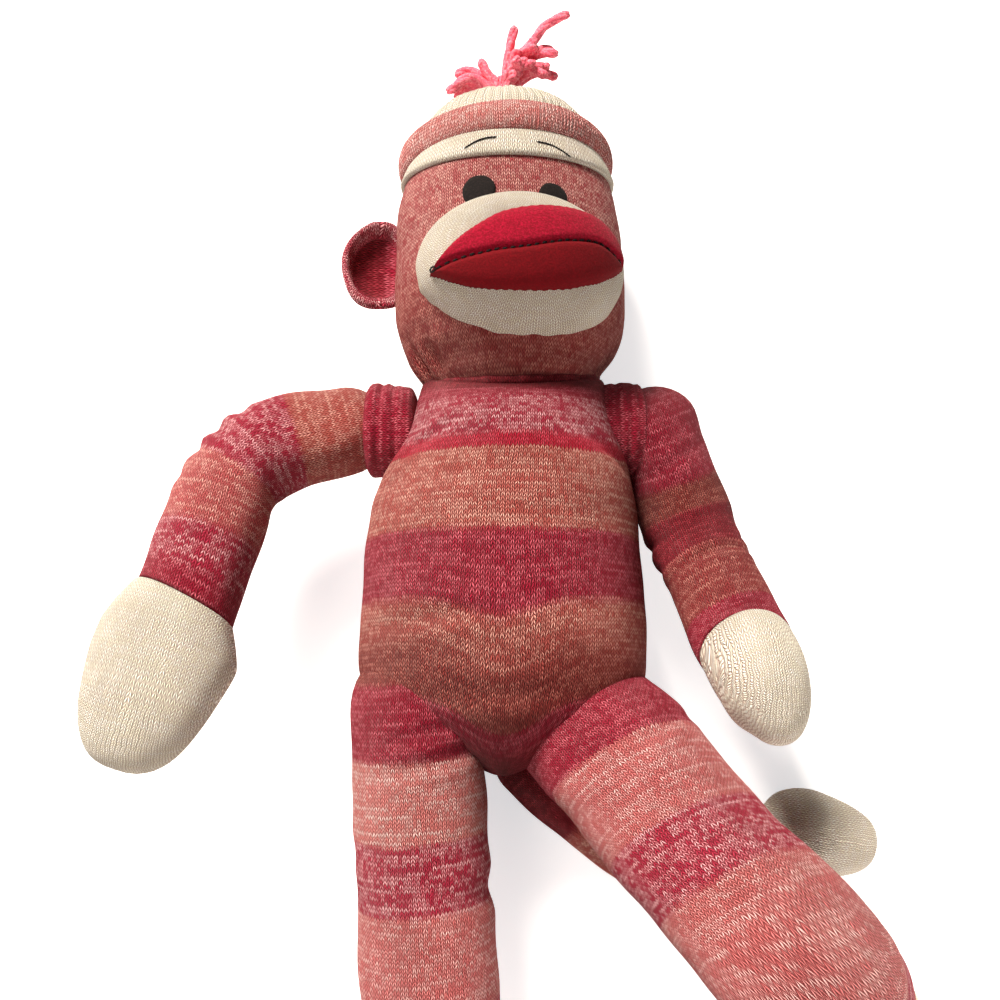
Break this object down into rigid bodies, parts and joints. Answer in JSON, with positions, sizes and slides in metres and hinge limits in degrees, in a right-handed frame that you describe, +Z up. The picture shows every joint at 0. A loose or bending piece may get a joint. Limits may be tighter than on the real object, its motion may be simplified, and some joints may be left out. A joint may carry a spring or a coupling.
{
  "type": "sock monkey doll",
  "caption": "Long-limbed knitted sock monkey lying on its back, with a stuffed body, jointed limbs and tail, felt mouth and a tufted cap.",
  "frame": {"origin": "on the floor, on the flattened back of the torso, level with the middle of its length", "axes": "+Z up out of the chest, +Y towards the head, +X towards the doll's own left"},
  "size_m": [0.2864, 0.4992, 0.1146],
  "materials": {
    "salmon_knit": "matt knitted marl, salmon and rose",
    "magenta_knit": "matt knitted marl, magenta and pink",
    "pink_knit": "matt knitted marl, pink",
    "cream_knit": "matt knitted, cream",
    "red_felt": "matt felt",
    "black_felt": "matt felt",
    "black_thread": "matt stitched thread",
    "tuft_yarn": "soft plied yarn",
    "fibre_filling": "loose polyester fibre"
  },
  "bodies": {
    "torso": {"torso_skin": "salmon_knit", "torso_filling": "fibre_filling"},
    "neck": {"neck_wad": "fibre_filling"},
    "head": {"head_skin": "pink_knit", "head_filling": "fibre_filling", "forehead_panel": "cream_knit", "brow_left": "black_thread", "brow_right": "black_thread", "muzzle_skin": "cream_knit", "muzzle_filling": "fibre_filling", "lips": "red_felt", "mouth_thread": "black_thread", "eye_left": "black_felt", "eye_right": "black_felt", "hat_crown": "cream_knit", "hat_brim": "pink_knit", "tuft": "tuft_yarn"},
    "ear_left": {"ear_left": "pink_knit"},
    "ear_right": {"ear_right": "pink_knit"},
    "shoulder_left": {"shoulder_wad_left": "fibre_filling"},
    "upper_arm_left": {"upper_arm_left_skin": "salmon_knit", "upper_arm_left_filling": "fibre_filling"},
    "forearm_left": {"forearm_left_skin": "magenta_knit", "forearm_left_filling": "fibre_filling", "mitt_left_skin": "cream_knit", "mitt_left_filling": "fibre_filling"},
    "shoulder_right": {"shoulder_wad_right": "fibre_filling"},
    "upper_arm_right": {"upper_arm_right_skin": "salmon_knit", "upper_arm_right_filling": "fibre_filling"},
    "forearm_right": {"forearm_right_skin": "magenta_knit", "forearm_right_filling": "fibre_filling", "mitt_right_skin": "cream_knit", "mitt_right_filling": "fibre_filling"},
    "hip_left": {"hip_wad_left": "fibre_filling"},
    "thigh_left": {"thigh_left_skin": "salmon_knit", "thigh_left_filling": "fibre_filling"},
    "shin_left": {"shin_left_skin": "magenta_knit", "shin_left_filling": "fibre_filling", "foot_left_skin": "cream_knit", "foot_left_filling": "fibre_filling"},
    "hip_right": {"hip_wad_right": "fibre_filling"},
    "thigh_right": {"thigh_right_skin": "salmon_knit", "thigh_right_filling": "fibre_filling"},
    "shin_right": {"shin_right_skin": "magenta_knit", "shin_right_filling": "fibre_filling", "foot_right_skin": "cream_knit", "foot_right_filling": "fibre_filling"},
    "tail_base": {"tail_base_skin": "salmon_knit", "tail_base_filling": "fibre_filling"},
    "tail_end": {"tail_middle_skin": "magenta_knit", "tail_middle_filling": "fibre_filling", "tail_tip_skin": "cream_knit", "tail_tip_filling": "fibre_filling"}
  },
  "joints": [
    {"name": "neck_nod", "type": "hinge", "parent": "torso", "child": "neck", "pos_m": [0.0045, 0.086, 0.0438], "axis": [1, 0, 0], "range_deg": [-20, 15]},
    {"name": "head_turn", "type": "hinge", "parent": "neck", "child": "head", "pos_m": [0.0045, 0.086, 0.0438], "axis": [-0.028, 0.9996, 0], "range_deg": [-40, 40]},
    {"name": "ear_left_fold", "type": "hinge", "parent": "head", "child": "ear_left", "pos_m": [0.048, 0.12199, 0.02582], "axis": [0.028, -0.9996, 0], "range_deg": [0, 85]},
    {"name": "ear_right_fold", "type": "hinge", "parent": "head", "child": "ear_right", "pos_m": [-0.04451, 0.12199, 0.0438], "axis": [-0.028, 0.9996, 0], "range_deg": [-85, 10]},
    {"name": "shoulder_left_swing", "type": "hinge", "parent": "torso", "child": "shoulder_left", "pos_m": [0.059, 0.0562, 0.043], "axis": [0, 0, 1], "range_deg": [-8, 95]},
    {"name": "shoulder_left_lift", "type": "hinge", "parent": "shoulder_left", "child": "upper_arm_left", "pos_m": [0.059, 0.0562, 0.043], "axis": [-0.8829, -0.4695, 0], "range_deg": [-10, 50]},
    {"name": "elbow_left", "type": "hinge", "parent": "upper_arm_left", "child": "forearm_left", "pos_m": [0.07722, 0.02193, 0.03332], "axis": [-0.8488, -0.336, -0.4082], "range_deg": [-40, 25]},
    {"name": "shoulder_right_swing", "type": "hinge", "parent": "torso", "child": "shoulder_right", "pos_m": [-0.059, 0.0562, 0.043], "axis": [0, 0, -1], "range_deg": [-15, 50]},
    {"name": "shoulder_right_lift", "type": "hinge", "parent": "shoulder_right", "child": "upper_arm_right", "pos_m": [-0.059, 0.0562, 0.043], "axis": [-0.2419, 0.9703, 0], "range_deg": [-15, 60]},
    {"name": "elbow_right", "type": "hinge", "parent": "upper_arm_right", "child": "forearm_right", "pos_m": [-0.09733, 0.04664, 0.04926], "axis": [0.113, 0.1856, 0.9761], "range_deg": [-55, 12]},
    {"name": "hip_left_flex", "type": "hinge", "parent": "torso", "child": "hip_left", "pos_m": [0.03, -0.06, 0.043], "axis": [-1, 0, 0], "range_deg": [-25, 8]},
    {"name": "hip_left_splay", "type": "hinge", "parent": "hip_left", "child": "thigh_left", "pos_m": [0.03, -0.06, 0.043], "axis": [0, 0.6196, 0.7849], "range_deg": [-25, 2]},
    {"name": "knee_left", "type": "hinge", "parent": "thigh_left", "child": "shin_left", "pos_m": [0.0867, -0.1208, 0.091], "axis": [0.7314, 0.682, 0], "range_deg": [-70, 5]},
    {"name": "hip_right_flex", "type": "hinge", "parent": "torso", "child": "hip_right", "pos_m": [-0.03, -0.06, 0.043], "axis": [-1, 0, 0], "range_deg": [0, 55]},
    {"name": "hip_right_splay", "type": "hinge", "parent": "hip_right", "child": "thigh_right", "pos_m": [-0.03, -0.06, 0.043], "axis": [0, 0.1051, -0.9945], "range_deg": [0, 30]},
    {"name": "knee_right", "type": "hinge", "parent": "thigh_right", "child": "shin_right", "pos_m": [-0.02002, -0.15495, 0.03297], "axis": [0.9945, 0.1045, 0], "range_deg": [0, 80]},
    {"name": "tail_root", "type": "hinge", "parent": "torso", "child": "tail_base", "pos_m": [0.009, -0.07, 0.0125], "axis": [0, 0, 1], "range_deg": [-12, 8]},
    {"name": "tail_middle", "type": "hinge", "parent": "tail_base", "child": "tail_end", "pos_m": [0.05718, -0.10901, 0.01142], "axis": [0, 0, 1], "range_deg": [-20, 25]}
  ]
}
